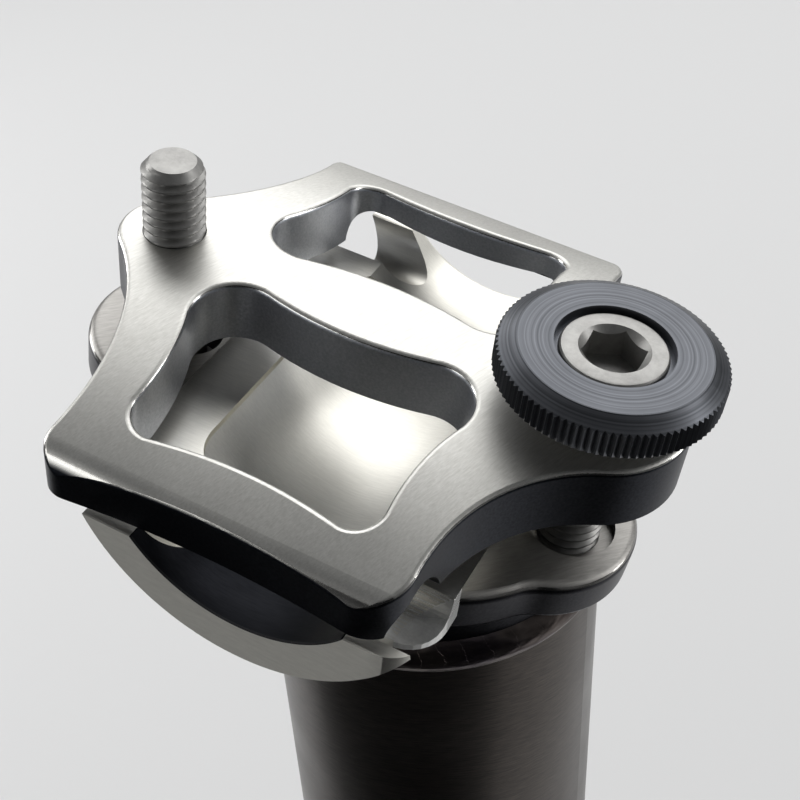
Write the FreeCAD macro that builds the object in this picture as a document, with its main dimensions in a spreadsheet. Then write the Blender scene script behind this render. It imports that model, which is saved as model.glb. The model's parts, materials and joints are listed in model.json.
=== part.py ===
"""A two-bolt bicycle seatpost: a tube with a welded head that clamps the two rails of a saddle.

Frame: the tube stands along +Z with its lower end at the origin, +X points to the front of
the bicycle and +Y to its left. The clamp is shown tilted nose down by clamp_tilt about the
lateral axis of the head's trough. All lengths are in millimetres, all angles in degrees.
"""
import FreeCAD, Part
import math
import os
import Sketcher

Vec = FreeCAD.Vector

DIMENSIONS = [
    # the post
    ("tube_diameter", 34.0), ("tube_wall", 1.8), ("tube_length", 250.0), ("tube_edge", 0.5),
    ("neck_inset", 0.3), ("weld_groove", 1.2),
    ("axis_above_tube", 23.5), ("axis_behind_tube", 3.1), ("clamp_tilt", 9.0), ("head_tilt", 13.4),
    ("bead_width", 3.8), ("bead_height", 0.8),
    # the head: a deck with a front and a rear lobe, and the round trough that the cradle turns in
    ("deck_depth", 11.8), ("trough_sink", 5.4), ("deck_thickness", 4.5), ("lobe_radius", 9.8),
    ("lobe_reach", 29.6), ("deck_behind_axis", 1.9), ("deck_overhang", 0.4),
    ("lobe_flare_radius", 6.0), ("deck_edge", 1.0), ("deck_under_edge", 0.5), ("rear_slot_length", 9.4),
    ("slot_clearance", 0.4), ("mouth_radius", 4.4), ("mouth_depth", 1.4), ("thread_depth", 5.2),
    ("chin_radius", 4.6), ("chin_depth", 5.6), ("rear_slot_centre", 22.7),
    # where the clamp lies from the tilt axis
    ("plate_above_axis", 1.9), ("plate_behind_axis", 2.7), ("bowl_behind_axis", 1.7),
    ("rear_bolt_reach", 21.1), ("front_bolt_reach", 22.9),
    # the saddle rails and their grooves
    ("rail_spacing", 44.0), ("rail_diameter", 7.0), ("groove_clearance", 0.05), ("rail_depth", 9.6),
    ("split_gap", 0.6),
    # the clamp plate
    ("plate_half_width", 27.0), ("plate_thickness", 6.3), ("crown_radius", 74.0),
    ("shoulder_radius", 3.0), ("bar_end_reach", 17.0), ("rear_boss_radius", 5.4),
    ("front_boss_radius", 8.3), ("rear_flank_height", 20.5), ("front_flank_height", 22.5),
    ("rear_corner_radius", 2.5), ("front_corner_radius", 3.8),
    ("side_hollow", 1.0), ("side_hollow_radius", 113.0),
    ("front_slot_length", 8.6), ("plate_edge", 0.5),
    # the two windows of the clamp plate
    ("spine_half_width", 4.4), ("spine_bow_radius", 35.0), ("window_half_length", 12.0),
    ("window_flank_height", 17.0), ("window_flank_radius", 21.5), ("window_reach", 20.7),
    ("window_bow_radius", 49.5), ("inner_corner_radius", 4.2), ("outer_corner_radius", 2.6),
    # the lower cradle
    ("cradle_front", 16.5), ("cradle_corner_radius", 3.8), ("toe_start", 12.0), ("land_reach", 17.0),
    ("land_half_width", 24.5), ("land_thickness", 1.3), ("bowl_half_length", 9.7),
    ("bowl_half_width", 17.5), ("bowl_corner_radius", 5.0), ("bowl_floor", 2.8),
    ("arch_thickness", 4.2), ("seat_clearance", 0.06),
    # M6 bolts, washers and the thumb wheel
    ("thread_diameter", 6.0), ("fit_clearance", 0.05), ("head_diameter", 9.5), ("head_height", 6.0),
    ("key_across", 5.0), ("key_depth", 3.2), ("bolt_chamfer", 0.8), ("head_chamfer", 0.45),
    ("rear_bolt_stand", 7.8), ("washer_radius", 6.2), ("washer_thickness", 2.4),
    ("washer_dome_radius", 22.0), ("swivel_gap", 0.3), ("front_thread_reach", 4.0),
    ("front_washer_thickness", 1.6), ("front_head_height", 4.3), ("front_key_depth", 3.0),
    ("wheel_radius", 10.0), ("wheel_top", 6.5), ("wheel_under", 2.7), ("wheel_bevel", 1.6),
    ("wheel_bevel_drop", 1.0), ("wheel_recess_radius", 5.2), ("wheel_recess_depth", 0.9),
    ("wheel_hub_radius", 7.0),
    ("knurl_depth", 0.28), ("knurl_teeth", 96),
]

doc = FreeCAD.newDocument("seatpost")
sheet = doc.addObject("Spreadsheet::Sheet", "sizes")
for row, (alias, value) in enumerate(DIMENSIONS, start=1):
    sheet.set("A%d" % row, alias.replace("_", " "))
    sheet.set("B%d" % row, str(value))
    sheet.setAlias("B%d" % row, alias)
doc.recompute()


class Size:
    """A length with the spreadsheet formula that gives it."""

    def __init__(self, formula, value):
        self.formula = formula
        self.value = value

    def join(self, other, sign, value):
        text = other.formula if isinstance(other, Size) else repr(float(other))
        return Size("(%s %s %s)" % (self.formula, sign, text), value)

    def __add__(self, other):
        return self.join(other, "+", self.value + number(other))

    def __sub__(self, other):
        return self.join(other, "-", self.value - number(other))

    def __mul__(self, other):
        return self.join(other, "*", self.value * number(other))

    def __truediv__(self, other):
        return self.join(other, "/", self.value / number(other))


def number(item):
    """The plain number in a Size, or the number itself."""
    return item.value if isinstance(item, Size) else float(item)


def size(alias):
    """The named length as a formula, for a bound property."""
    return Size("sizes.%s" % alias, float(sheet.get(alias)))


def length(alias):
    """The named length as a plain number, for a computed outline or place."""
    return float(sheet.get(alias))


def bind(item, **formulas):
    """Tie properties of an object to sizes of the spreadsheet."""
    for name, formula in formulas.items():
        item.setExpression(name, formula.formula)
    return item


# Places. The clamp frame has its origin on the tilt axis and leans nose down by the tilt.
AXIS_POINT = Vec(-length("axis_behind_tube"), 0, length("tube_length") + length("axis_above_tube"))
LEAN = FreeCAD.Rotation(Vec(0, 1, 0), length("clamp_tilt"))
CLAMP = FreeCAD.Placement(AXIS_POINT, LEAN)


def in_clamp(x=0.0, y=0.0, z=0.0, rotation=None):
    """A place in the clamp frame: x ahead, y to the left and z above the tilt axis."""
    return CLAMP.multiply(FreeCAD.Placement(Vec(x, y, z), rotation or FreeCAD.Rotation()))


def in_head(x=0.0, y=0.0, z=0.0, rotation=None):
    """A place in the head's own frame, which leans by head_tilt about the same axis."""
    lean = FreeCAD.Rotation(Vec(0, 1, 0), length("head_tilt"))
    local = FreeCAD.Placement(Vec(x, y, z), rotation or FreeCAD.Rotation())
    return FreeCAD.Placement(AXIS_POINT, lean).multiply(local)


def lean_share(function):
    """Sine or cosine of the angle between the head's deck and the clamp, as a formula."""
    angle = math.radians(length("head_tilt") - length("clamp_tilt"))
    formula = "%s((sizes.head_tilt - sizes.clamp_tilt) * 1 deg)" % function
    return Size(formula, getattr(math, function)(angle))


def down_bolt(depth, bolt_reach):
    """How far below the tilt axis a bolt, bolt_reach ahead of it, meets a plane of the head."""
    return (depth + bolt_reach * lean_share("sin")) / lean_share("cos")


PLATE_X = -length("plate_behind_axis")
PLATE_Z = length("plate_above_axis")
REAR_BOLT_X = PLATE_X - length("rear_bolt_reach")
FRONT_BOLT_X = PLATE_X + length("front_bolt_reach")
DECK_Z = -length("deck_depth")
REAR_REACH = size("plate_behind_axis") * -1 - size("rear_bolt_reach")
FRONT_REACH = size("plate_behind_axis") * -1 + size("front_bolt_reach")
FRONT_DECK = down_bolt(size("deck_depth"), FRONT_REACH)
DOME = size("washer_dome_radius")
REAR_WASHER = down_bolt(size("deck_depth") + size("deck_thickness") + size("swivel_gap") + DOME,
                        REAR_REACH) - DOME
TROUGH = size("deck_depth") + size("trough_sink")
CRADLE = TROUGH - size("seat_clearance")
RAIL_Z = PLATE_Z - length("rail_depth")
SPLIT_Z = RAIL_Z - length("split_gap") / 2
LIP_Z = RAIL_Z + length("split_gap") / 2
LATERAL = FreeCAD.Rotation(Vec(1, 0, 0), -90)
ALONG = FreeCAD.Rotation(Vec(0, 1, 0), 90)
FAR = 2 * length("plate_half_width")


def make(kind, name, place=None, **formulas):
    """A document object of one kind, with bound sizes and a place."""
    item = bind(doc.addObject(kind, name), **formulas)
    if place is not None:
        item.Placement = place
    return item


def computed(name, shape, place=None):
    """A document object whose shape this script works out from the sheet."""
    item = doc.addObject("Part::Feature", name)
    item.Shape = shape
    if place is not None:
        item.Placement = place
    return item


def cut(name, base, *tools):
    """What is left of base once every tool is taken away."""
    tool = tools[0] if len(tools) == 1 else fuse(name + "_tools", *tools)
    item = doc.addObject("Part::Cut", name)
    item.Base, item.Tool = base, tool
    return item


def fuse(name, *shapes):
    """Several shapes as one."""
    item = doc.addObject("Part::MultiFuse", name)
    item.Shapes = list(shapes)
    item.Refine = True
    return item


def common(name, *shapes):
    """What several shapes share."""
    item = doc.addObject("Part::MultiCommon", name)
    item.Shapes = list(shapes)
    return item


def cylinder(name, radius, height, place):
    """A round bar, with radius and height as formulas."""
    return make("Part::Cylinder", name, place, Radius=radius, Height=height)


def crossing(first, first_radius, second, second_radius, pick):
    """The crossing of two circles that pick, a key function, puts last."""
    gap = second.sub(first)
    along = (gap.Length ** 2 + first_radius ** 2 - second_radius ** 2) / (2 * gap.Length)
    across = math.sqrt(first_radius ** 2 - along ** 2)
    unit = Vec(gap).normalize()
    side = Vec(-unit.y, unit.x, 0)
    foot = first.add(unit.multiply(along))
    return max((foot.add(side * across), foot.sub(side * across)), key=pick)


def toward(centre, radius, target):
    """The point of a circle that faces the target."""
    return centre.add(Vec(target.sub(centre)).normalize().multiply(radius))


def mirror_x(point):
    return Vec(-point.x, point.y, point.z)


def mirror_y(point):
    return Vec(point.x, -point.y, point.z)


def arc_edge(start, middle, end):
    return Part.Arc(start, middle, end).toShape()


def prism(edges, low, high):
    """A flat outline of edges made a solid from low to high."""
    wire = Part.Wire(Part.__sortEdges__(edges))
    wire.translate(Vec(0, 0, low))
    return Part.Face(wire).extrude(Vec(0, 0, high - low))


def rounded_box(half_x, half_y, radius, low, high):
    """An upright box with rounded corners, centred on the z axis."""
    box = Part.makeBox(2 * half_x, 2 * half_y, high - low, Vec(-half_x, -half_y, low))
    upright = [edge for edge in box.Edges if abs(edge.tangentAt(edge.FirstParameter).z) > 0.9]
    return box.makeFillet(radius, upright)


def profile_body(name, corners, place, angle=None):
    """A turned piece: a body whose bound sketch of radius and height corners is revolved."""
    body = doc.addObject("PartDesign::Body", name)
    body.Placement = place
    sketch = body.newObject("Sketcher::SketchObject", name + "_profile")
    plane = [item for item in body.Origin.OriginFeatures if item.Role == "XZ_Plane"][0]
    sketch.AttachmentSupport = [(plane, "")]
    sketch.MapMode = "FlatFace"
    points = [Vec(number(radius), number(height), 0) for radius, height in corners]
    for index, point in enumerate(points):
        sketch.addGeometry(Part.LineSegment(point, points[(index + 1) % len(points)]), False)
    for index in range(len(points)):
        following = (index + 1) % len(points)
        sketch.addConstraint(Sketcher.Constraint("Coincident", index, 2, following, 1))
    for index, (radius, height) in enumerate(corners):
        for kind, reading, axis in (("DistanceX", radius, -2), ("DistanceY", height, -1)):
            if abs(number(reading)) < 1e-9:
                sketch.addConstraint(Sketcher.Constraint("PointOnObject", index, 1, axis))
                continue
            place_of = sketch.addConstraint(
                Sketcher.Constraint(kind, -1, 1, index, 1, number(reading)))
            if isinstance(reading, Size):
                sketch.setExpression("Constraints[%d]" % place_of, reading.formula)
    turned = body.newObject("PartDesign::Revolution", name + "_turned")
    turned.Profile = sketch
    turned.ReferenceAxis = (sketch, ["V_Axis"])
    turned.Angle = 360.0
    body.Tip = turned
    return body


def hex_pocket(body, name, height, across, depth):
    """A hexagon key socket cut down into a turned body from the given height."""
    doc.recompute()
    sketch = body.newObject("Sketcher::SketchObject", name)
    plane = [item for item in body.Origin.OriginFeatures if item.Role == "XY_Plane"][0]
    sketch.AttachmentSupport = [(plane, "")]
    sketch.MapMode = "FlatFace"
    sketch.AttachmentOffset = FreeCAD.Placement(Vec(0, 0, height.value), FreeCAD.Rotation())
    sketch.setExpression("AttachmentOffset.Base.z", height.formula)
    corner = across.value / math.sqrt(3)
    turns = [math.radians(60 * step) for step in range(6)]
    points = [Vec(corner * math.cos(turn), corner * math.sin(turn), 0) for turn in turns]
    for index, point in enumerate(points):
        sketch.addGeometry(Part.LineSegment(point, points[(index + 1) % 6]), False)
    sketch.addGeometry(Part.Circle(Vec(0, 0, 0), Vec(0, 0, 1), corner), True)
    for index in range(6):
        sketch.addConstraint(Sketcher.Constraint("Coincident", index, 2, (index + 1) % 6, 1))
        sketch.addConstraint(Sketcher.Constraint("PointOnObject", index, 1, 6))
    for index in range(5):
        sketch.addConstraint(Sketcher.Constraint("Equal", index, index + 1))
    sketch.addConstraint(Sketcher.Constraint("Coincident", 6, 3, -1, 1))
    sketch.addConstraint(Sketcher.Constraint("PointOnObject", 0, 1, -1))
    reach = sketch.addConstraint(Sketcher.Constraint("Radius", 6, corner))
    sketch.setExpression("Constraints[%d]" % reach, (across / math.sqrt(3)).formula)
    pocket = body.newObject("PartDesign::Pocket", name + "_pocket")
    pocket.Profile = sketch
    pocket.setExpression("Length", depth.formula)
    body.Tip = pocket
    return body


def post_tube():
    """The drawn titanium tube, chamfered at its lower end and bevelled for the weld at its top."""
    outer = size("tube_diameter") / 2
    inner = outer - size("tube_wall")
    edge = size("tube_edge")
    top = size("tube_length")
    corners = [(inner, 0), (outer - edge, 0), (outer, edge), (outer, top - size("bead_width") / 2),
               (outer - size("weld_groove"), top), (inner, top)]
    return profile_body("tube", corners, FreeCAD.Placement())


def head():
    """The machined head: a round neck, a deck with two lobes, and the trough across it."""
    neck = cylinder("neck", size("tube_diameter") / 2 - size("neck_inset"), size("axis_above_tube"),
                    FreeCAD.Placement(Vec(0, 0, length("tube_length")), FreeCAD.Rotation()))
    low = DECK_Z - length("deck_thickness")
    deck = computed("deck", deck_slab(low), in_head(-length("deck_behind_axis")))
    chin = cylinder("chin", size("chin_radius"), size("chin_depth") - size("deck_thickness") / 2,
                    in_clamp(FRONT_BOLT_X, 0, -FRONT_DECK.value - length("chin_depth")))
    body = fuse("head_body", neck, deck, chin)
    above = make("Part::Box", "above_deck", in_head(-FAR, -FAR, DECK_Z),
                 Length=size("plate_half_width") * 4, Width=size("plate_half_width") * 4,
                 Height=size("deck_depth") * 2)
    trough = cylinder("trough", TROUGH, size("plate_half_width") * 4,
                      in_clamp(0, -FAR, 0, LATERAL))
    half = size("thread_diameter") / 2
    rear_slot = computed("rear_slot", slot_shape(length("rear_slot_length"),
                         half.value + length("slot_clearance"), low - 1, DECK_Z + 1),
                         in_head(-length("rear_slot_centre")))
    thread = cylinder("front_thread_hole", half + size("fit_clearance"), size("thread_depth") * 2,
                      in_clamp(FRONT_BOLT_X, 0, -FRONT_DECK.value - length("thread_depth")))
    mouth = cylinder("front_mouth", size("mouth_radius"), size("mouth_depth") * 2,
                     in_clamp(FRONT_BOLT_X, 0, -FRONT_DECK.value - length("mouth_depth")))
    below = make("Part::Box", "below_neck", FreeCAD.Placement(Vec(-FAR, -FAR, 0), FreeCAD.Rotation()),
                 Length=size("plate_half_width") * 4, Width=size("plate_half_width") * 4,
                 Height=size("tube_length"))
    return cut("head", body, below, above, trough, rear_slot, thread, mouth)


def deck_slab(low):
    """The head's deck: a long slab with round ends, flared into a disc that sits on the neck."""
    lobe = length("lobe_radius")
    lean = math.radians(length("head_tilt"))
    drop = length("deck_depth") + length("deck_thickness") / 2
    ahead = (length("axis_behind_tube") + drop * math.sin(lean)) / math.cos(lean)
    centre = Vec(ahead + length("deck_behind_axis"), 0, low)
    disc_radius = length("tube_diameter") / 2 + length("deck_overhang")
    disc = Part.makeCylinder(disc_radius, DECK_Z - low, centre, Vec(0, 0, 1))
    slab = slot_shape(2 * length("lobe_reach"), lobe, low, DECK_Z).fuse(disc).removeSplitter()
    corners = [edge for edge in slab.Edges if edge.BoundBox.XLength < 1e-6
               and edge.BoundBox.YLength < 1e-6 and on_disc(edge, centre, disc_radius)]
    slab = slab.makeFillet(length("lobe_flare_radius"), corners)
    slab = slab.makeFillet(length("deck_edge"), flat_rim(slab, DECK_Z))
    return slab.makeFillet(length("deck_under_edge"), flat_rim(slab, low))


def on_disc(edge, centre, radius):
    """Whether an upright edge is a corner where the disc meets a lobe."""
    middle = edge.valueAt(edge.FirstParameter)
    reach = math.hypot(middle.x - centre.x, middle.y - centre.y)
    return abs(reach - radius) < 1e-6 and abs(middle.y) > 1e-3


def flat_rim(shape, height):
    """The edges of a prism's cap at one height."""
    return [edge for edge in shape.Edges
            if abs(edge.BoundBox.ZMin - height) < 1e-6 and abs(edge.BoundBox.ZMax - height) < 1e-6]


def slot_shape(full_length, radius, low, high):
    """An upright slot with round ends, centred, long along x."""
    half = full_length / 2 - radius
    edges = [Part.LineSegment(Vec(-half, -radius, 0), Vec(half, -radius, 0)).toShape(),
             arc_edge(Vec(half, -radius, 0), Vec(half + radius, 0, 0), Vec(half, radius, 0)),
             Part.LineSegment(Vec(half, radius, 0), Vec(-half, radius, 0)).toShape(),
             arc_edge(Vec(-half, radius, 0), Vec(-half - radius, 0, 0), Vec(-half, -radius, 0))]
    return prism(edges, low, high)


def weld_bead(head_piece):
    """The weld round the joint of tube and head: it fills the tube's bevel and crowns over both."""
    outer = length("tube_diameter") / 2
    half = length("bead_width") / 2
    top = outer + length("bead_height")
    neck = outer - length("neck_inset")
    root = outer - length("weld_groove")
    edges = [Part.LineSegment(Vec(outer, 0, -half), Vec(root, 0, 0)).toShape(),
             Part.LineSegment(Vec(root, 0, 0), Vec(neck, 0, 0)).toShape(),
             Part.LineSegment(Vec(neck, 0, 0), Vec(neck, 0, half)).toShape(),
             arc_edge(Vec(outer, 0, -half), Vec(top, 0, 0), Vec(neck, 0, half))]
    face = Part.Face(Part.Wire(Part.__sortEdges__(edges)))
    ring = face.revolve(Vec(0, 0, 0), Vec(0, 0, 1), 360)
    place = FreeCAD.Placement(Vec(0, 0, length("tube_length")), FreeCAD.Rotation())
    bolt_hole = doc.getObject("front_thread_hole")
    return cut("weld_bead", computed("weld_ring", ring, place), head_piece, bolt_hole)


def plate_outline():
    """The clamp plate from above: two bosses, four hollow flanks and two bars with hollow sides."""
    ends = []
    flanks = (("rear", -1), ("front", 1))
    for end, sign in flanks:
        boss = Vec(sign * length(end + "_bolt_reach"), 0, 0)
        boss_radius = length(end + "_boss_radius")
        reach = sign * length("bar_end_reach")
        height = length(end + "_flank_height")
        offset = abs(boss.x) - abs(reach)
        flank_radius = (height ** 2 + offset ** 2 - boss_radius ** 2) / (2 * (boss_radius + offset))
        flank = Vec(reach + sign * flank_radius, height, 0)
        side = Vec(0, length("plate_half_width") - length("side_hollow") + length("side_hollow_radius"), 0)
        corner_radius = length(end + "_corner_radius")
        corner = crossing(flank, flank_radius + corner_radius, side,
                          length("side_hollow_radius") + corner_radius, lambda p: -sign * p.x)
        ends.append((sign, boss, boss_radius, flank, flank_radius, corner, corner_radius, side))
    edges = []
    tops = []
    for sign, boss, boss_radius, flank, flank_radius, corner, corner_radius, side in ends:
        boss_point = toward(boss, boss_radius, flank)
        corner_low = toward(corner, corner_radius, flank)
        corner_high = toward(corner, corner_radius, side)
        flank_middle = toward(flank, flank_radius, boss_point.add(corner_low) * 0.5)
        corner_middle = toward(corner, corner_radius, corner.add(Vec(sign, 1, 0)))
        edges.append(arc_edge(mirror_y(boss_point), boss.add(Vec(sign * boss_radius, 0, 0)), boss_point))
        for turn in (Vec, mirror_y):
            edges.append(arc_edge(turn(boss_point), turn(flank_middle), turn(corner_low)))
            edges.append(arc_edge(turn(corner_low), turn(corner_middle), turn(corner_high)))
        tops.append(corner_high)
    middle = Vec(0, length("plate_half_width") - length("side_hollow"), 0)
    for turn in (Vec, mirror_y):
        edges.append(arc_edge(turn(tops[0]), turn(middle), turn(tops[1])))
    return edges


def window_outline():
    """One window from above, on the +y side: four sides that bow inwards and round corners."""
    spine = Vec(0, length("spine_half_width") - length("spine_bow_radius"), 0)
    bar = Vec(0, length("window_reach") + length("window_bow_radius"), 0)
    flank_radius = length("window_flank_radius")
    flank = Vec(length("window_half_length") + flank_radius, length("window_flank_height"), 0)
    inner_radius = length("inner_corner_radius")
    outer_radius = length("outer_corner_radius")
    inner = crossing(spine, length("spine_bow_radius") + inner_radius,
                     flank, flank_radius + inner_radius, lambda p: p.y)
    outer = crossing(bar, length("window_bow_radius") + outer_radius,
                     flank, flank_radius + outer_radius, lambda p: -p.y)
    inner_start = toward(inner, inner_radius, spine)
    inner_end = toward(inner, inner_radius, flank)
    outer_start = toward(outer, outer_radius, flank)
    outer_end = toward(outer, outer_radius, bar)
    edges = []
    for turn in (Vec, mirror_x):
        edges.append(arc_edge(turn(inner_start), turn(toward(inner, inner_radius, inner.add(Vec(1, -1, 0)))),
                              turn(inner_end)))
        flank_middle = toward(flank, flank_radius, inner_end.add(outer_start) * 0.5)
        edges.append(arc_edge(turn(inner_end), turn(flank_middle),
                              turn(outer_start)))
        edges.append(arc_edge(turn(outer_start), turn(toward(outer, outer_radius, outer.add(Vec(1, 1, 0)))),
                              turn(outer_end)))
    edges.append(arc_edge(mirror_x(inner_start), Vec(0, length("spine_half_width"), 0), inner_start))
    edges.append(arc_edge(mirror_x(outer_end), Vec(0, length("window_reach"), 0), outer_end))
    return edges


def plate_section():
    """The plate's section across the bicycle: a crowned slab whose bars end in flat lips."""
    crown = length("crown_radius")
    under = crown - length("plate_thickness")
    half = length("plate_half_width")
    lip = LIP_Z - PLATE_Z
    shoulder = length("shoulder_radius")
    centre = Vec(0, -crown, 0)
    wall = Vec(half - shoulder, 0, 0)
    rise = math.sqrt((crown - shoulder) ** 2 - wall.x ** 2)
    shoulder_centre = Vec(wall.x, -crown + rise, 0)
    shoulder_start = toward(centre, crown, shoulder_centre)
    shoulder_middle = toward(shoulder_centre, shoulder, shoulder_centre.add(Vec(1, 0.5, 0)))
    shoulder_end = Vec(half, shoulder_centre.y, 0)
    slab_end = Vec(math.sqrt(under ** 2 - (lip + crown) ** 2), lip, 0)
    edges = [arc_edge(mirror_x(shoulder_start), Vec(0, 0, 0), shoulder_start),
             arc_edge(mirror_x(slab_end), Vec(0, -length("plate_thickness"), 0), slab_end)]
    for turn in (Vec, mirror_x):
        edges.append(arc_edge(turn(shoulder_start), turn(shoulder_middle), turn(shoulder_end)))
        edges.append(Part.LineSegment(turn(shoulder_end), turn(Vec(half, lip, 0))).toShape())
        edges.append(Part.LineSegment(turn(Vec(half, lip, 0)), turn(slab_end)).toShape())
    slab = prism(edges, 0, 2 * FAR)
    across = FreeCAD.Rotation(Vec(0, 1, 0), Vec(0, 0, 1), Vec(1, 0, 0), "XYZ")
    slab.Placement = FreeCAD.Placement(Vec(-FAR, 0, 0), across)
    return slab


def rail_groove(name, place_z, sign):
    """The round groove of one saddle rail, as a bar along the bicycle."""
    radius = size("rail_diameter") / 2 + size("groove_clearance")
    return cylinder(name, radius, size("plate_half_width") * 4,
                    in_clamp(-FAR, sign * length("rail_spacing") / 2, place_z, ALONG))


def clamp_plate():
    """The forged and machined upper clamp, with its windows, bolt holes and rail grooves."""
    low = -2 * length("plate_thickness")
    slab = plate_section().common(prism(plate_outline(), low, length("plate_thickness")))
    window = prism(window_outline(), low, length("plate_thickness"))
    other = window.mirror(Vec(0, 0, 0), Vec(0, 1, 0))
    slab = slab.cut(window).cut(other)
    radius = length("rail_diameter") / 2 + length("groove_clearance")
    for sign in (-1, 1):
        centre = Vec(-FAR, sign * length("rail_spacing") / 2, -length("rail_depth"))
        slab = slab.cut(Part.makeCylinder(radius, 2 * FAR, centre, Vec(1, 0, 0)))
    top = [edge for edge in slab.Edges if is_top_edge(edge)]
    slab = slab.makeFillet(length("plate_edge"), top)
    blank = computed("plate_blank", slab, in_clamp(PLATE_X, 0, PLATE_Z))
    half = size("thread_diameter") / 2
    rear = cylinder("rear_plate_hole", half + size("fit_clearance"), size("plate_thickness") * 3,
                    in_clamp(REAR_BOLT_X, 0, PLATE_Z - 2 * length("plate_thickness")))
    front = computed("front_plate_slot", slot_shape(length("front_slot_length"),
                     half.value + length("slot_clearance"), low, length("plate_thickness")),
                     in_clamp(FRONT_BOLT_X, 0, PLATE_Z))
    return cut("clamp_plate", blank, rear, front)


def is_top_edge(edge):
    """Whether an edge lies on the crowned top of the plate, away from the rounded shoulders."""
    crown = length("crown_radius")
    for share in (0.0, 0.25, 0.5, 0.75, 1.0):
        span = edge.LastParameter - edge.FirstParameter
        point = edge.valueAt(edge.FirstParameter + share * span)
        if abs(math.hypot(point.y, point.z + crown) - crown) > 1e-4:
            return False
    ends = [edge.valueAt(edge.FirstParameter), edge.valueAt(edge.LastParameter)]
    return not (abs(ends[0].y - ends[1].y) < 1e-6 and abs(ends[0].x - ends[1].x) > 5
                and abs(ends[0].y) > length("window_reach") + 2)


def cradle_blank():
    """The cradle from above: a bar across the bicycle with its two front corners rounded."""
    low = -TROUGH.value
    front = length("cradle_front")
    half = length("plate_half_width")
    bar = Part.makeBox(front - low, 2 * half, SPLIT_Z - low, Vec(low, -half, low))
    corners = [edge for edge in bar.Edges
               if edge.BoundBox.XMin > front - 1e-6 and edge.BoundBox.ZLength > 1]
    return bar.makeFillet(length("cradle_corner_radius"), corners)


def cradle_toe():
    """What makes the cradle's underside leave the round in a straight line at its front."""
    start = length("toe_start")
    low = -math.sqrt(CRADLE.value ** 2 - start ** 2)
    end = start + (SPLIT_Z - low) * -low / start
    half = length("plate_half_width")
    corners = [Vec(start, -half, low), Vec(end, -half, SPLIT_Z), Vec(start, -half, SPLIT_Z)]
    return Part.Face(Part.makePolygon(corners + corners[:1])).extrude(Vec(0, 2 * half, 0))


def rail_cradle():
    """The lower clamp: half-moon underneath, hollowed from above, open in an arch at both ends."""
    width = size("plate_half_width")
    blank = computed("cradle_block", cradle_blank(), in_clamp())
    round_under = cylinder("cradle_round", CRADLE, width * 4, in_clamp(0, -FAR, 0, LATERAL))
    toe = computed("cradle_toe", cradle_toe(), in_clamp())
    land = make("Part::Box", "cradle_land",
                in_clamp(-length("land_reach"), -length("land_half_width"),
                         SPLIT_Z - length("land_thickness")),
                Length=size("land_reach"), Width=size("land_half_width") * 2,
                Height=size("land_thickness"))
    body = common("cradle_body", blank, fuse("cradle_under", round_under, toe, land))
    well = computed("bowl_well", rounded_box(length("bowl_half_length"), length("bowl_half_width"),
                    length("bowl_corner_radius"), -2 * CRADLE.value, CRADLE.value),
                    in_clamp(-length("bowl_behind_axis")))
    bowl_round = cylinder("bowl_round", CRADLE - size("bowl_floor"), width * 4,
                          in_clamp(0, -FAR, 0, LATERAL))
    bowl = common("bowl", well, bowl_round)
    inside = length("bowl_half_width") - 2
    arches = [cylinder("arch_%s" % side, CRADLE - size("arch_thickness"), width,
                       in_clamp(0, start, 0, LATERAL))
              for side, start in (("right", -width.value - inside), ("left", inside))]
    grooves = [rail_groove("cradle_groove_%s" % side, RAIL_Z, sign)
               for side, sign in (("right", -1), ("left", 1))]
    return cut("rail_cradle", body, bowl, *(arches + grooves))


def socket_bolt(name, shank, head_height, key_depth, place):
    """A socket head bolt standing head up, with its head's underside at the given place."""
    half = size("thread_diameter") / 2
    head_radius = size("head_diameter") / 2
    chamfer = size("bolt_chamfer")
    edge = size("head_chamfer")
    top = shank + head_height
    corners = [(0, 0), (half - chamfer, 0), (half, chamfer), (half, shank), (head_radius, shank),
               (head_radius, top - edge), (head_radius - edge, top), (0, top)]
    drop = FreeCAD.Placement(Vec(0, 0, -shank.value), FreeCAD.Rotation())
    body = profile_body(name, corners, place.multiply(drop))
    return hex_pocket(body, name + "_key", top, size("key_across"), key_depth)


def domed_washer(name, thick, place):
    """A washer with a domed face below and a flat face above."""
    radius = length("washer_radius")
    dome = length("washer_dome_radius")
    bore = length("thread_diameter") / 2 + length("fit_clearance")
    disc = Part.makeCylinder(radius, thick, Vec(0, 0, 0), Vec(0, 0, 1))
    disc = disc.common(Part.makeSphere(dome, Vec(0, 0, dome)))
    disc = disc.cut(Part.makeCylinder(bore, thick, Vec(0, 0, 0), Vec(0, 0, 1)))
    return computed(name, disc, place)


def rear_bolt():
    """The rear bolt from below: its head under the rear lobe, its end above the plate."""
    under = REAR_WASHER + size("washer_thickness")
    shank = under + size("plate_above_axis") + size("rear_bolt_stand")
    flip = FreeCAD.Rotation(Vec(1, 0, 0), 180)
    return socket_bolt("rear_bolt", shank, size("head_height"), size("key_depth"),
                       in_clamp(REAR_BOLT_X, 0, -under.value, flip))


def rear_washer():
    """The domed washer between the rear lobe and the head of the rear bolt."""
    flip = FreeCAD.Rotation(Vec(1, 0, 0), 180)
    return domed_washer("rear_washer", length("washer_thickness"),
                        in_clamp(REAR_BOLT_X, 0, -REAR_WASHER.value, flip))


def front_washer():
    """The domed washer under the thumb wheel, on the front boss of the plate."""
    return domed_washer("front_washer", length("front_washer_thickness"),
                        in_clamp(FRONT_BOLT_X, 0, PLATE_Z + length("swivel_gap")))


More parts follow.
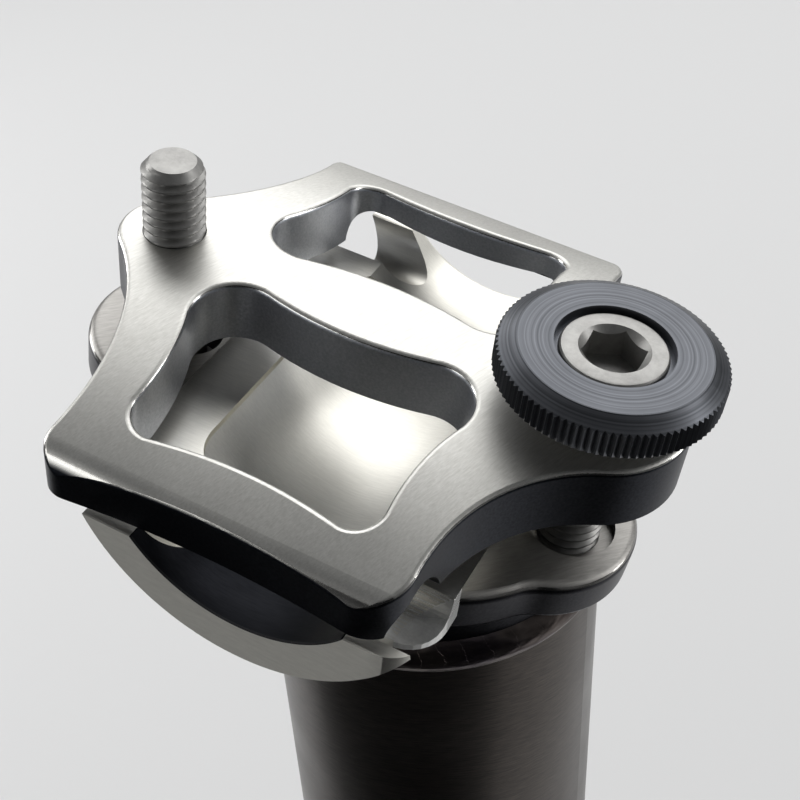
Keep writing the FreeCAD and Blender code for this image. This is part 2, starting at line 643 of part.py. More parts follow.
def front_bolt():
    """The front bolt from above: its head in the thumb wheel, its end in the head's thread."""
    seat = size("swivel_gap") + size("front_washer_thickness")
    shank = seat + size("plate_above_axis") + FRONT_DECK + size("front_thread_reach")
    return socket_bolt("front_bolt", shank, size("front_head_height"), size("front_key_depth"),
                       in_clamp(FRONT_BOLT_X, 0, PLATE_Z + seat.value))


def thumb_wheel():
    """The black anodised thumb wheel: bevelled and finely knurled, pressed over the bolt head."""
    outer = length("wheel_radius")
    inner = outer - length("knurl_depth")
    teeth = int(length("knurl_teeth"))
    points = []
    for tooth in range(teeth):
        for share, radius in ((0.0, outer), (0.5, inner)):
            turn = 2 * math.pi * (tooth + share) / teeth
            points.append(Vec(radius * math.cos(turn), radius * math.sin(turn), 0))
    low = length("swivel_gap") + length("front_washer_thickness")
    hub = length("wheel_hub_radius")
    top = length("wheel_top")
    knurled = Part.Face(Part.makePolygon(points + points[:1])).extrude(Vec(0, 0, top))
    bevel = length("wheel_bevel")
    drop = length("wheel_bevel_drop")
    under = length("wheel_under")
    rim = [Vec(0, 0, low), Vec(hub, 0, low), Vec(hub, 0, under),
           Vec(outer - bevel / 2, 0, under), Vec(outer, 0, under + drop / 2),
           Vec(outer, 0, top - drop), Vec(outer - bevel, 0, top), Vec(0, 0, top)]
    turned = Part.Face(Part.makePolygon(rim + rim[:1])).revolve(Vec(0, 0, 0), Vec(0, 0, 1), 360)
    wheel = knurled.common(turned)
    head_radius = length("head_diameter") / 2
    recess = length("wheel_recess_depth")
    bore = Part.makeCylinder(head_radius, top, Vec(0, 0, 0), Vec(0, 0, 1))
    ring = Part.makeCylinder(length("wheel_recess_radius"), top, Vec(0, 0, top - recess), Vec(0, 0, 1))
    return computed("wheel_blank", wheel.cut(bore).cut(ring), in_clamp(FRONT_BOLT_X, 0, PLATE_Z))


def check(item):
    """Stop where a piece failed, is empty or isn't a valid solid."""
    if item.Shape.isNull() or not item.Shape.isValid() or not item.Shape.Solids:
        raise RuntimeError("the shape of %s is not a valid solid" % item.Label)


def main():
    head_piece = head()
    nodes = {
        "tube": post_tube(), "head": head_piece, "weld_bead": weld_bead(head_piece),
        "rail_cradle": rail_cradle(), "clamp_plate": clamp_plate(),
        "rear_bolt": rear_bolt(), "rear_washer": rear_washer(),
        "front_bolt": front_bolt(), "front_washer": front_washer(), "thumb_wheel": thumb_wheel(),
    }
    doc.recompute()
    for item in doc.Objects:
        if "Invalid" in item.State or "Error" in item.State:
            raise RuntimeError("%s did not compute: %s" % (item.Label, item.State))
    os.makedirs("parts", exist_ok=True)
    for name, item in nodes.items():
        item.Label = name
        check(item)
        item.Shape.exportStep("parts/%s.step" % name)
        box = item.Shape.BoundBox
        print("%-14s volume %9.1f  x %7.2f %7.2f  y %7.2f %7.2f  z %7.2f %7.2f" % (
            name, item.Shape.Volume, box.XMin, box.XMax, box.YMin, box.YMax, box.ZMin, box.ZMax))


main()
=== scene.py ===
"""A bicycle seatpost with a two-bolt saddle clamp, seen from above its right front."""
import json
import math

import bmesh
import bpy
from mathutils import Matrix, Vector


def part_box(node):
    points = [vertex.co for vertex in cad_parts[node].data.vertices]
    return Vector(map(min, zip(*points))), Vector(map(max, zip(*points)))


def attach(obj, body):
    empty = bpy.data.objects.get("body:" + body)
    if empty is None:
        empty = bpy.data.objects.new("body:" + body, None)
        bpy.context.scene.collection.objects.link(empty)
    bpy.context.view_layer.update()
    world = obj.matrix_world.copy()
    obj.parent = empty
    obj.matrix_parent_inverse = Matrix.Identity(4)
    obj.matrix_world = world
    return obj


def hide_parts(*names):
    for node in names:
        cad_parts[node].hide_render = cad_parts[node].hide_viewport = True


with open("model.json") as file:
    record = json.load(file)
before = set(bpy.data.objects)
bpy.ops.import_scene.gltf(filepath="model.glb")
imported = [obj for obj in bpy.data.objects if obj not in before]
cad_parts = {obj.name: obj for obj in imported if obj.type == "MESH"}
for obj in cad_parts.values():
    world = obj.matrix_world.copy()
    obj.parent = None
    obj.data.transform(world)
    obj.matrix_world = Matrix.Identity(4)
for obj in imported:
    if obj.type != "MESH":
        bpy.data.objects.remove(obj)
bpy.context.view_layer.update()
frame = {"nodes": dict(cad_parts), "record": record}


# Tube: drawn titanium, open at its lower end and welded to the head at its top. It is brushed
# round its length, which gives the eye a dark, warm metal with faint streaks. Real brushing is
# finer than the picture can show, so its marks are drawn coarser.
MM = 0.001


def linear(code):
    """The linear colour of an sRGB hex code such as 8a8f94."""
    parts = [int(code[place:place + 2], 16) / 255.0 for place in (0, 2, 4)]
    return tuple(p / 12.92 if p <= 0.04045 else ((p + 0.055) / 1.055) ** 2.4 for p in parts) + (1.0,)


def feed(node, inputs):
    """Gives a node its inputs, each a value, or a node and which of its outputs to take."""
    for socket, value in inputs.items():
        if isinstance(value, tuple) and isinstance(value[0], bpy.types.Node):
            node.id_data.links.new(value[0].outputs[value[1]], node.inputs[socket])
        else:
            node.inputs[socket].default_value = value


def add_node(material, kind, inputs, stops=(), **settings):
    """Adds one node with its settings, the stops of its ramp and its inputs."""
    node = material.node_tree.nodes.new(kind)
    for name, value in settings.items():
        setattr(node, name, value)
    if stops:
        elements = node.color_ramp.elements
        while len(elements) < len(stops):
            elements.new(0.5)
        for element, (position, code) in zip(elements, stops):
            element.position = position
            element.color = linear(code)
    feed(node, inputs)
    return node


def new_material(name, metallic):
    """A material, with its shader and the coordinates that its patterns read."""
    material = bpy.data.materials.new(name)
    material.use_nodes = True
    shader = material.node_tree.nodes["Principled BSDF"]
    shader.inputs["Metallic"].default_value = metallic
    return material, shader, add_node(material, "ShaderNodeTexCoord", {})


def marks(material, place, per_mm, detail, fineness=0.6, turn=(0.0, 0.0, 0.0)):
    """Tool marks, so many to the millimetre along each axis once turned."""
    turned = add_node(material, "ShaderNodeMapping", {"Vector": (place, "Object"), "Rotation": turn})
    spaced = add_node(material, "ShaderNodeMapping",
                      {"Vector": (turned, "Vector"), "Scale": tuple(count / MM for count in per_mm)})
    return add_node(material, "ShaderNodeTexNoise",
                    {"Vector": (spaced, "Vector"), "Scale": 1.0, "Detail": detail, "Roughness": fineness})


def spread(source, output, low, high):
    """The inputs that turn the middle of a pattern's range into low to high."""
    return {"Value": (source, output), "From Min": 0.3, "From Max": 0.7, "To Min": low, "To Max": high}


def brushed_metal(name, colours, rough, per_mm, turn=(0.0, 0.0, 0.0), relief=0.0006 * MM, metallic=1.0):
    """Metal scratched along the axis that has the fewest marks to the millimetre."""
    material, shader, place = new_material(name, metallic)
    scratch = marks(material, place, per_mm, detail=4.0, fineness=0.7, turn=turn)
    cloud = marks(material, place, (0.05, 0.05, 0.05), detail=3.0)
    tint = add_node(material, "ShaderNodeValToRGB", {"Fac": (scratch, "Fac")},
                    stops=((0.25, colours[0]), (0.75, colours[1])))
    dull = add_node(material, "ShaderNodeMapRange", spread(cloud, "Fac", *rough))
    bumps = add_node(material, "ShaderNodeBump",
                     {"Height": (scratch, "Fac"), "Strength": 1.0, "Distance": relief})
    feed(shader, {"Base Color": (tint, "Color"), "Roughness": (dull, "Result"), "Normal": (bumps, "Normal")})
    return material


def paint(piece, material):
    """Gives every face of a CAD piece one material."""
    slots = frame["nodes"][piece].data.materials
    if not slots:
        slots.append(material)
    for index in range(len(slots)):
        slots[index] = material


paint("tube", brushed_metal("brushed_titanium", colours=("383534", "5f5852"), rough=(0.26, 0.38),
                            per_mm=(0.5, 0.5, 8.0), turn=(0.25, 0.1, 0.0), relief=0.0004 * MM))


# Weld: a bead of titanium laid by hand round the joint of tube and head. Heat has tinted it
# brown, and each overlapping scale of the bead stands a little proud and bows about its middle.
BEAD_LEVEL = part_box("tube")[1][2]
SCALES_ROUND = 46
SCALE_BOW = 90000.0
SCALE_WOBBLE = 1.2
SCALE_RELIEF = 0.40 * MM
WELD_ROUGH = 0.3

weld, weld_shader, place = new_material("weld", metallic=1.0)
heat = marks(weld, place, (0.12, 0.12, 0.3), detail=3.0)
heat_tint = add_node(weld, "ShaderNodeValToRGB", {"Fac": (heat, "Fac")},
                     stops=((0.3, "48413f"), (0.5, "6d6561"), (0.7, "575056")))
parts = add_node(weld, "ShaderNodeSeparateXYZ", {0: (place, "Object")})
turn = add_node(weld, "ShaderNodeMath", {0: (parts, "Y"), 1: (parts, "X")}, operation="ARCTAN2")
count = add_node(weld, "ShaderNodeMath", {0: (turn, 0), 1: SCALES_ROUND / (2 * math.pi)},
                 operation="MULTIPLY")
level = add_node(weld, "ShaderNodeMath", {0: (parts, "Z"), 1: BEAD_LEVEL}, operation="SUBTRACT")
square = add_node(weld, "ShaderNodeMath", {0: (level, 0), 1: (level, 0)}, operation="MULTIPLY")
bow = add_node(weld, "ShaderNodeMath", {0: (square, 0), 1: SCALE_BOW}, operation="MULTIPLY")
wobble = add_node(weld, "ShaderNodeMath", {0: (heat, "Fac"), 1: SCALE_WOBBLE}, operation="MULTIPLY")
bowed = add_node(weld, "ShaderNodeMath", {0: (count, 0), 1: (bow, 0)}, operation="ADD")
phase = add_node(weld, "ShaderNodeMath", {0: (bowed, 0), 1: (wobble, 0)}, operation="ADD")
scale = add_node(weld, "ShaderNodeMath", {0: (phase, 0)}, operation="FRACT")
ripple = add_node(weld, "ShaderNodeBump", {"Height": (scale, 0), "Strength": 1.0, "Distance": SCALE_RELIEF})
feed(weld_shader, {"Base Color": (heat_tint, "Color"), "Roughness": WELD_ROUGH, "Normal": (ripple, "Normal")})
paint("weld_bead", weld)


# Head: machined from titanium, with a neck, a deck with a rear and a front lobe, and a round
# trough for the cradle. Its upper faces are brushed, its edges polished and its walls dull from
# the cutter. Its walls are also painted nearly black as painted shade, so the deck looks bright
# and its sides nearly black.
TILT = math.radians(9.0)
BOLT_AXIS = Vector((math.sin(TILT), 0.0, math.cos(TILT)))
POLISHED_ROUGH = 0.16
POLISH_FROM = 0.06
POLISH_TO = 0.12


def machined_metal(name, face, wall_painted_shade, per_mm, turn, face_rough, wall_rough, upward, inner=None):
    """Metal brushed on its upper faces, polished on its edges, and dull and painted dark as painted shade on
    its walls.

    A face counts as a wall below the first of upward, and as an upper face from the second. With
    inner, its two colours are used on the walls where its function says so.
    """
    material, shader, place = new_material(name, metallic=1.0)
    scratch = marks(material, place, per_mm, detail=5.0, fineness=0.65, turn=turn)
    grain = marks(material, place, (4.0, 4.0, 4.0), detail=2.0)
    cloud = marks(material, place, (0.06, 0.06, 0.06), detail=3.0)
    facing = add_node(material, "ShaderNodeVectorMath", {0: (place, "Normal"), 1: BOLT_AXIS},
                      operation="DOT_PRODUCT")
    upper = add_node(material, "ShaderNodeMapRange",
                     {"Value": (facing, "Value"), "From Min": upward[0], "From Max": upward[1],
                      "To Min": 0.0, "To Max": 1.0})
    polish = add_node(material, "ShaderNodeMapRange",
                      {"Value": (facing, "Value"), "From Min": upward[1] + POLISH_FROM,
                       "From Max": upward[1] + POLISH_TO, "To Min": 1.0, "To Max": 0.0})
    face_tint = add_node(material, "ShaderNodeValToRGB", {"Fac": (scratch, "Fac")},
                         stops=((0.25, face[0]), (0.75, face[1])))
    # Painted shade: the walls, picked by facing, get a near-black colour that stands in for shade, while the
    # upper faces keep the metal's brushed colour.
    painted_shade_wall_tint = add_node(material, "ShaderNodeValToRGB", {"Fac": (grain, "Fac")},
                         stops=((0.3, wall_painted_shade[0]), (0.7, wall_painted_shade[1])))
    painted_shade_walls = (painted_shade_wall_tint, "Color")
    if inner is not None:
        colours, inside = inner
        pale_tint = add_node(material, "ShaderNodeValToRGB", {"Fac": (grain, "Fac")},
                             stops=((0.3, colours[0]), (0.7, colours[1])))
        both = add_node(material, "ShaderNodeMix",
                        {0: inside(material, place), 6: painted_shade_walls, 7: (pale_tint, "Color")}, data_type="RGBA")
        painted_shade_walls = (both, 2)
    tint = add_node(material, "ShaderNodeMix", {0: (upper, "Result"), 6: painted_shade_walls, 7: (face_tint, "Color")},
                    data_type="RGBA")
    brushed = add_node(material, "ShaderNodeMapRange", spread(cloud, "Fac", *face_rough))
    top_rough = add_node(material, "ShaderNodeMix",
                         {0: (polish, "Result"), 2: (brushed, "Result"), 3: POLISHED_ROUGH},
                         data_type="FLOAT")
    rough = add_node(material, "ShaderNodeMix", {0: (upper, "Result"), 2: wall_rough, 3: (top_rough, 0)},
                     data_type="FLOAT")
    bumps = add_node(material, "ShaderNodeBump",
                     {"Height": (scratch, "Fac"), "Strength": 1.0, "Distance": 0.0003 * MM})
    feed(shader, {"Base Color": (tint, 2), "Roughness": (rough, 0), "Normal": (bumps, "Normal")})
    return material


paint("head", machined_metal("machined_head", face=("8b8986", "a6a4a0"), wall_painted_shade=("2c2c30", "3a3a3e"),
                             per_mm=(5.0, 0.5, 5.0), turn=(0.0, -TILT, 0.7), face_rough=(0.42, 0.52),
                             wall_rough=0.36, upward=(0.36, 0.58)))


# Cradle: milled from aluminium bar, round below to turn in the head's trough, with a groove for
# each rail, a bowl in its middle and an arch in each end. It is bright from the cutter, and its
# ends are satin. The right arch is coloured dark, as the photograph shows a dark reflection there.
AXIS_POINT = Vector(frame["record"]["behaviour"]["joints"][0]["pos_m"])
ARCH_RADIUS = 12.9 * MM
ARCH_MARGIN = 0.15 * MM
BOWL_SIDE = 17.3 * MM
CRADLE_END = 26.8 * MM
SATIN_ROUGH = 0.55
SATIN_METALLIC = 0.55

cradle, cradle_shader, place = new_material("machined_cradle", metallic=1.0)
cut = marks(cradle, place, (0.5, 6.0, 2.0), detail=4.0, fineness=0.7, turn=(0.0, -TILT, 0.0))
cloud = marks(cradle, place, (0.05, 0.05, 0.05), detail=3.0)
bright = add_node(cradle, "ShaderNodeValToRGB", {"Fac": (cut, "Fac")},
                  stops=((0.25, "d6d4cc"), (0.75, "e6e4dc")))
# Painted dark reflection: the inside of the right arch is coloured near black, not the aluminium's own
# colour.
painted_reflection_tint = add_node(cradle, "ShaderNodeValToRGB", {"Fac": (cut, "Fac")},
                stops=((0.25, "141518"), (0.75, "1f2023")))
parts = add_node(cradle, "ShaderNodeSeparateXYZ", {0: (place, "Object")})
from_axis = add_node(cradle, "ShaderNodeVectorMath", {0: (place, "Object"), 1: AXIS_POINT},
                     operation="SUBTRACT")
in_section = add_node(cradle, "ShaderNodeVectorMath", {0: (from_axis, "Vector"), 1: (1.0, 0.0, 1.0)},
                      operation="MULTIPLY")
reach = add_node(cradle, "ShaderNodeVectorMath", {0: (in_section, "Vector")}, operation="LENGTH")
inside = add_node(cradle, "ShaderNodeMath", {0: (reach, "Value"), 1: ARCH_RADIUS + ARCH_MARGIN},
                  operation="LESS_THAN")
at_right = add_node(cradle, "ShaderNodeMath", {0: (parts, "Y"), 1: -BOWL_SIDE}, operation="LESS_THAN")
painted_reflection_mask = add_node(cradle, "ShaderNodeMath", {0: (inside, 0), 1: (at_right, 0)}, operation="MULTIPLY")
tint = add_node(cradle, "ShaderNodeMix", {0: (painted_reflection_mask, 0), 6: (bright, "Color"), 7: (painted_reflection_tint, "Color")},
                data_type="RGBA")
sideways = add_node(cradle, "ShaderNodeMath", {0: (parts, "Y")}, operation="ABSOLUTE")
end = add_node(cradle, "ShaderNodeMath", {0: (sideways, 0), 1: CRADLE_END}, operation="GREATER_THAN")
cut_rough = add_node(cradle, "ShaderNodeMapRange", spread(cloud, "Fac", 0.34, 0.44))
rough = add_node(cradle, "ShaderNodeMix", {0: (end, 0), 2: (cut_rough, "Result"), 3: SATIN_ROUGH},
                 data_type="FLOAT")
metallic = add_node(cradle, "ShaderNodeMix", {0: (end, 0), 2: 1.0, 3: SATIN_METALLIC}, data_type="FLOAT")
bumps = add_node(cradle, "ShaderNodeBump", {"Height": (cut, "Fac"), "Strength": 1.0, "Distance": 0.0002 * MM})
feed(cradle_shader, {"Base Color": (tint, 2), "Metallic": (metallic, 0), "Roughness": (rough, 0),
                     "Normal": (bumps, "Normal")})
paint("rail_cradle", cradle)


# The cradle's front feet: milled with it, one inside each rail, polished and rounded at their
# outer corner. Sizes are in millimetres from the tilt axis, along, across and square to the plate.
FOOT_LOW = (11.6, 17.0, -11.9)
FOOT_HIGH = (16.3, 22.8, -8.1)
FOOT_CORNER = 3.7
FOOT_EDGE = 0.25
RAIL_RADIUS = 3.55
RAIL_SIDE = 22.0
RAIL_LEVEL = -7.7
RAIL_LENGTH = 60.0
NEARLY = 0.99


def apply_modifiers(piece):
    """Applies every modifier of a piece, in their order."""
    bpy.ops.object.select_all(action="DESELECT")
    piece.select_set(True)
    bpy.context.view_layer.objects.active = piece
    for modifier in list(piece.modifiers):
        bpy.ops.object.modifier_apply(modifier=modifier.name)


def cradle_foot(name, side):
    """One front foot, with its corner rounded and the rail's groove cut into it."""
    bpy.ops.object.select_all(action="DESELECT")
    bpy.ops.mesh.primitive_cube_add(size=1.0)
    foot = bpy.context.object
    foot.name = name
    foot.scale = [(high - low) * MM for low, high in zip(FOOT_LOW, FOOT_HIGH)]
    foot.location = [(low + high) / 2 * MM for low, high in zip(FOOT_LOW, FOOT_HIGH)]
    foot.location.y *= side
    bpy.ops.object.transform_apply(location=True, rotation=True, scale=True)
    bpy.ops.object.mode_set(mode="EDIT")
    bpy.ops.mesh.select_mode(type="EDGE")
    bpy.ops.mesh.select_all(action="DESELECT")
    bpy.ops.object.mode_set(mode="OBJECT")
    for edge in foot.data.edges:
        ends = [foot.data.vertices[index].co for index in edge.vertices]
        edge.select = all(point.x > NEARLY * FOOT_HIGH[0] * MM and side * point.y > NEARLY * FOOT_HIGH[1] * MM
                          for point in ends)
    bpy.ops.object.mode_set(mode="EDIT")
    bpy.ops.mesh.bevel(offset=FOOT_CORNER * MM, segments=8, profile=0.5, affect="EDGES")
    bpy.ops.object.mode_set(mode="OBJECT")
    bpy.ops.mesh.primitive_cylinder_add(vertices=64, radius=RAIL_RADIUS * MM, depth=RAIL_LENGTH * MM,
                                        location=(0, side * RAIL_SIDE * MM, RAIL_LEVEL * MM),
                                        rotation=(0, math.pi / 2, 0))
    rail = bpy.context.object
    groove = foot.modifiers.new("groove", "BOOLEAN")
    groove.operation = "DIFFERENCE"
    groove.object = rail
    edge = foot.modifiers.new("edge", "BEVEL")
    edge.width = FOOT_EDGE * MM
    edge.segments = 3
    edge.limit_method = "ANGLE"
    apply_modifiers(foot)
    bpy.data.objects.remove(rail)
    foot.data.transform(Matrix.Translation(AXIS_POINT) @ Matrix.Rotation(TILT, 4, "Y"))
    foot.data.materials.append(brushed_metal(name, colours=("cfcfcd", "efefec"), rough=(0.24, 0.34),
                                             per_mm=(2.0, 2.0, 0.4), turn=(0.0, -TILT, 0.0), metallic=0.7))
    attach(foot, "clamp")


cradle_foot("cradle_toe_right", -1)
cradle_foot("cradle_toe_left", 1)


# Clamp plate: milled from aluminium, crowned, with two bowed windows, a boss for each bolt and a
# round along each side for the rails. Its top is brushed and its walls are dull, and the walls are
# painted nearly black as painted shade. The walls round the windows are painted a lighter shade,
# within these distances from the tilt axis.
FORWARD_AXIS = Vector((math.cos(TILT), 0.0, -math.sin(TILT)))
WINDOW_SIDE = 23.2 * MM
WINDOW_AHEAD = 12.7 * MM
WINDOW_BACK = -18.1 * MM


def at_the_windows(material, place):
    """One on the walls round the windows and zero elsewhere, measured in the plate's own frame."""
    parts = add_node(material, "ShaderNodeSeparateXYZ", {0: (place, "Object")})
    moved = add_node(material, "ShaderNodeVectorMath", {0: (place, "Object"), 1: AXIS_POINT},
                     operation="SUBTRACT")
    along = add_node(material, "ShaderNodeVectorMath", {0: (moved, "Vector"), 1: FORWARD_AXIS},
                     operation="DOT_PRODUCT")
    sideways = add_node(material, "ShaderNodeMath", {0: (parts, "Y")}, operation="ABSOLUTE")
    near = add_node(material, "ShaderNodeMath", {0: (sideways, 0), 1: WINDOW_SIDE}, operation="LESS_THAN")
    behind = add_node(material, "ShaderNodeMath", {0: (along, "Value"), 1: WINDOW_AHEAD},
                      operation="LESS_THAN")
    ahead = add_node(material, "ShaderNodeMath", {0: (along, "Value"), 1: WINDOW_BACK},
                     operation="GREATER_THAN")
    between = add_node(material, "ShaderNodeMath", {0: (near, 0), 1: (behind, 0)}, operation="MULTIPLY")
    return add_node(material, "ShaderNodeMath", {0: (between, 0), 1: (ahead, 0)}, operation="MULTIPLY"), 0


# Painted shade: the plate's walls are coloured near black, and those round the windows a lighter painted
# shade.
paint("clamp_plate", machined_metal("brushed_plate", face=("b4b3ae", "d0cfcb"), wall_painted_shade=("25272d", "34363c"),
                                    per_mm=(7.0, 0.6, 7.0), turn=(0.0, -TILT, 0.35), face_rough=(0.38, 0.46),
                                    wall_rough=0.40, upward=(0.38, 0.60),
                                    inner=(("a3a6ad", "bbbdc3"), at_the_windows)))


# Bolts and washers: M6 socket bolts of stainless steel with rolled threads, satin all over. The
# rear one comes up from below and the front one down from above, and a domed washer under each
# lets it swivel. Sizes are in millimetres.
THREAD_PITCH = 1.0
OUTER_RADIUS = 3.0
ROOT_RADIUS = 2.45
TIP_RADIUS = 2.2
CREST_RISE = 1.35
ROOT_FLAT = 0.12
ROW_HEIGHT = 1.0 / 14
POINTS_ROUND = 72
THREAD_END = 0.3
HEAD_RADIUS = 4.75
HEAD_EDGE = 0.4
KEY_ACROSS = 5.0
MOUTH_INNER = 2.4
MOUTH_OUTER = 3.15
MOUTH_DEPTH = 0.75
MOUTH_SINK = 0.355

steel = brushed_metal("bolt_steel", colours=("858482", "a6a5a2"), rough=(0.38, 0.48), per_mm=(0.6, 0.6, 0.6),
                      metallic=0.8)


def thread_radius(height, turn):
    """The surface radius of a right-hand thread at a height over its tip and a share of a turn."""
    share = (height / THREAD_PITCH - turn) % 1.0
    crest = min(1.0, max(0.0, CREST_RISE * (1.0 - abs(2.0 * share - 1.0)) - ROOT_FLAT))
    return min(ROOT_RADIUS + (OUTER_RADIUS - ROOT_RADIUS) * crest, TIP_RADIUS + height)


def threaded_shank(name, length, threaded):
    """A shank whose tip is at height zero, threaded up to a height and plain from there."""
    rows = [step * ROW_HEIGHT for step in range(int(threaded / ROW_HEIGHT) + 1)]
    shape = bmesh.new()
    rings = []
    for height in rows + [threaded + THREAD_END, length]:
        ring = []
        for step in range(POINTS_ROUND):
            turn = step / POINTS_ROUND
            radius = OUTER_RADIUS if height > threaded else thread_radius(height, turn)
            angle = 2 * math.pi * turn
            point = (radius * MM * math.cos(angle), radius * MM * math.sin(angle), height * MM)
            ring.append(shape.verts.new(point))
        rings.append(ring)
    for low, high in zip(rings, rings[1:]):
        for step in range(POINTS_ROUND):
            following = (step + 1) % POINTS_ROUND
            shape.faces.new((low[step], low[following], high[following], high[step]))
    shape.faces.new(list(reversed(rings[0])))
    shape.faces.new(rings[-1])
    mesh = bpy.data.meshes.new(name)
    shape.to_mesh(mesh)
    shape.free()
    shank = bpy.data.objects.new(name, mesh)
    bpy.context.collection.objects.link(shank)
    return shank


def socket_head(name, height, key_depth):
    """A cylinder head with a hexagon socket and a bevelled mouth, its underside at height zero."""
    bpy.ops.mesh.primitive_cylinder_add(vertices=96, radius=HEAD_RADIUS * MM, depth=height * MM,
                                        location=(0, 0, height / 2 * MM))
    head = bpy.context.object
    head.name = name
    edge = head.modifiers.new("edge", "BEVEL")
    edge.width = HEAD_EDGE * MM
    edge.segments = 3
    bpy.ops.mesh.primitive_cylinder_add(vertices=6, radius=KEY_ACROSS / math.sqrt(3) * MM,
                                        depth=2 * key_depth * MM, location=(0, 0, height * MM))
    key = bpy.context.object
    bpy.ops.mesh.primitive_cone_add(vertices=96, radius1=MOUTH_INNER * MM, radius2=MOUTH_OUTER * MM,
                                    depth=MOUTH_DEPTH * MM, location=(0, 0, (height - MOUTH_SINK) * MM))
    mouth = bpy.context.object
    for tool in (key, mouth):
        socket = head.modifiers.new("socket", "BOOLEAN")
        socket.operation = "DIFFERENCE"
        socket.object = tool
    apply_modifiers(head)
    for tool in (key, mouth):
        bpy.data.objects.remove(tool)
    return head


def middle(values):
    """Halfway between the least and the greatest."""
    return (min(values) + max(values)) / 2


def bolt_place(node, head_height, upside_down):
    """Where a CAD bolt's head has its underside, as a matrix, and its shank's length in mm."""
    corners = [vertex.co for vertex in frame["nodes"][node].data.vertices]
    reaches = [corner.dot(BOLT_AXIS) for corner in corners]
    ahead = middle([corner.dot(FORWARD_AXIS) for corner in corners])
    sideways = middle([corner.y for corner in corners])
    along = min(reaches) + head_height * MM if upside_down else max(reaches) - head_height * MM
    place = FORWARD_AXIS * ahead + Vector((0, sideways, 0)) + BOLT_AXIS * along
    turned = Matrix.Rotation(math.pi, 4, "X") if upside_down else Matrix.Identity(4)
    shank = (max(reaches) - min(reaches)) / MM - head_height
    return Matrix.Translation(place) @ Matrix.Rotation(TILT, 4, "Y") @ turned, shank


def bolt(node, body, threaded, head_height, key_depth, upside_down):
    """A threaded socket bolt in place of its plain CAD node."""
    matrix, shank = bolt_place(node, head_height, upside_down)
    stem = threaded_shank(node + "_stem", shank, threaded)
    stem.location = (0, 0, -shank * MM)
    head = socket_head(node + "_head", head_height, key_depth)
    bpy.ops.object.select_all(action="DESELECT")
    stem.select_set(True)
    head.select_set(True)
    bpy.context.view_layer.objects.active = head
    bpy.ops.object.join()
    piece = bpy.context.object
    piece.name = node + "_threaded"
    bpy.ops.object.transform_apply(location=True, rotation=True, scale=True)
    piece.data.transform(matrix)
    bpy.ops.object.shade_smooth_by_angle(angle=math.radians(28))
    piece.data.materials.clear()
    piece.data.materials.append(steel)
    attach(piece, body)
    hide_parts(node)


bolt("rear_bolt", "rear_bolt", threaded=20.0, head_height=6.0, key_depth=3.2, upside_down=True)
bolt("front_bolt", "front_knob", threaded=18.0, head_height=4.3, key_depth=3.0, upside_down=False)
paint("rear_washer", steel)
paint("front_washer", steel)


# Thumb wheel: turned from aluminium, knurled at its rim and anodised black, pressed onto the front
# bolt's head. Its black is coloured a mid grey as a painted sheen. Turning left fine rings about
# the bolt, which are painted as thin lighter grey circles of painted glint and raised in the bump.
RING_SPACING = 0.25 * MM

wheel, wheel_shader, place = new_material("black_anodised", metallic=0.9)
wheel_low, wheel_high = (Vector(corner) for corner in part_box("thumb_wheel"))
moved = add_node(wheel, "ShaderNodeVectorMath", {0: (place, "Object"), 1: (wheel_low + wheel_high) / 2},
                 operation="SUBTRACT")
around = add_node(wheel, "ShaderNodeVectorMath", {0: (moved, "Vector"), 1: BOLT_AXIS},
                  operation="CROSS_PRODUCT")
from_bolt = add_node(wheel, "ShaderNodeVectorMath", {0: (around, "Vector")}, operation="LENGTH")
rings = add_node(wheel, "ShaderNodeTexNoise",
                 {"W": (from_bolt, "Value"), "Scale": 1.0 / RING_SPACING, "Detail": 3.0},
                 noise_dimensions="1D")
cloud = marks(wheel, place, (0.2, 0.2, 0.2), detail=3.0)
# Painted sheen and glint: the black anodising is coloured mid grey, and lighter grey on the turned rings.
tint = add_node(wheel, "ShaderNodeValToRGB", {"Fac": (rings, "Fac")},
                stops=((0.3, "47494d"), (0.7, "63656a")))
rough = add_node(wheel, "ShaderNodeMapRange", spread(cloud, "Fac", 0.30, 0.42))
bumps = add_node(wheel, "ShaderNodeBump",
                 {"Height": (rings, "Fac"), "Strength": 1.0, "Distance": 0.0012 * MM})
feed(wheel_shader, {"Base Color": (tint, "Color"), "Roughness": (rough, "Result"),
                    "Normal": (bumps, "Normal")})
paint("thumb_wheel", wheel)


# Camera: at the photograph's place, with its lens and its slight roll, fitted to the outlines of
# the plate, the bolts and the tube.
LENS = 61.49
SENSOR_WIDTH = 36.0
CAMERA_PLACE = Vector((47.04, -87.88, 347.43)) * MM
VIEW_FORWARD = Vector((-0.3837, 0.6768, -0.6282)).normalized()
VIEW_RIGHT = Vector((0.8875, 0.4583, -0.0482))

camera_data = bpy.data.cameras.new("camera")
camera_data.lens = LENS
camera_data.sensor_width = SENSOR_WIDTH
camera = bpy.data.objects.new("camera", camera_data)
bpy.context.collection.objects.link(camera)
right = (VIEW_RIGHT - VIEW_FORWARD * VIEW_RIGHT.dot(VIEW_FORWARD)).normalized()
turned = Matrix((right, right.cross(VIEW_FORWARD), -VIEW_FORWARD)).transposed().to_4x4()
camera.matrix_world = Matrix.Translation(CAMERA_PLACE) @ turned
bpy.context.scene.camera = camera


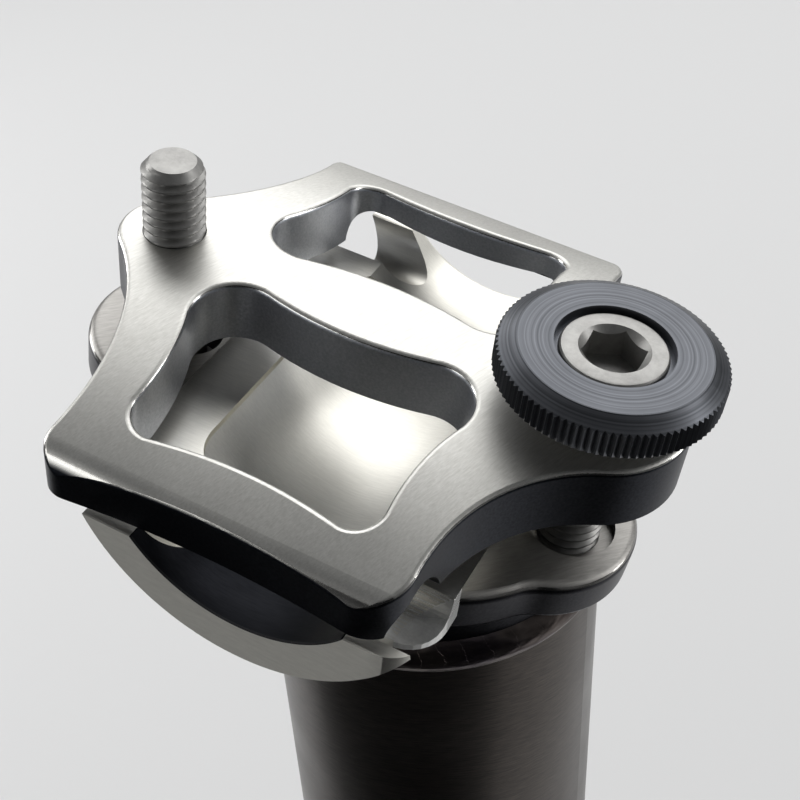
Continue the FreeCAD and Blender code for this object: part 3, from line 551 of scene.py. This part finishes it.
# Studio: a pale floor and a pale surround, one large soft box behind the part, two narrow ones
# beside it and a weak one in front. Two black cards in front show in reflections only, as the
# dark camera side of a studio does.
FLOOR_SIZE = 6.0
PAPER = "d6d6d6"
PAPER_ROUGH = 0.9
SURROUND = "d9dbdd"
SURROUND_STRENGTH = 0.18
LIT_POINT = Vector((0.0, 0.0, 0.27))


def soft_box(name, place, width, height, power):
    """A rectangular lamp that points at the clamp."""
    data = bpy.data.lights.new(name, "AREA")
    data.shape = "RECTANGLE"
    data.size = width
    data.size_y = height
    data.energy = power
    light = bpy.data.objects.new(name, data)
    bpy.context.collection.objects.link(light)
    light.location = place
    light.rotation_euler = (LIT_POINT - Vector(place)).to_track_quat("-Z", "Y").to_euler()


def dark_card(name, place, width, height, turn):
    """A black card that only reflections show."""
    bpy.ops.mesh.primitive_plane_add(size=1.0, location=place, rotation=(turn, 0, 0))
    card = bpy.context.object
    card.name = name
    card.scale = (width, height, 1.0)
    felt, felt_shader, _ = new_material(name, metallic=0.0)
    feed(felt_shader, {"Base Color": linear("0c0d10"), "Roughness": PAPER_ROUGH})
    card.data.materials.append(felt)
    card.visible_camera = False
    card.visible_diffuse = False
    card.visible_shadow = False


bpy.ops.mesh.primitive_plane_add(size=FLOOR_SIZE, location=(0.0, 0.0, 0.0))
floor = bpy.context.object
floor.name = "floor"
paper, paper_shader, _ = new_material("paper", metallic=0.0)
feed(paper_shader, {"Base Color": linear(PAPER), "Roughness": PAPER_ROUGH})
floor.data.materials.append(paper)

world = bpy.data.worlds.new("world")
world.use_nodes = True
feed(world.node_tree.nodes["Background"], {"Color": linear(SURROUND), "Strength": SURROUND_STRENGTH})
bpy.context.scene.world = world

soft_box("back", (-0.25, 1.0, 1.2), width=2.2, height=1.3, power=22.0)
soft_box("left", (-0.9, 0.0, 0.5), width=0.3, height=0.8, power=4.5)
soft_box("right", (0.9, 0.45, 0.5), width=0.25, height=0.8, power=4.0)
soft_box("fill", (-0.55, -0.75, 0.55), width=0.5, height=0.5, power=1.6)
dark_card("card_below", (0.1, -1.08, 0.002), width=2.6, height=2.0, turn=0.0)
dark_card("card_before", (0.1, -0.9, 0.6), width=2.6, height=1.2, turn=math.pi / 2)
bpy.context.scene.view_settings.view_transform = "Standard"
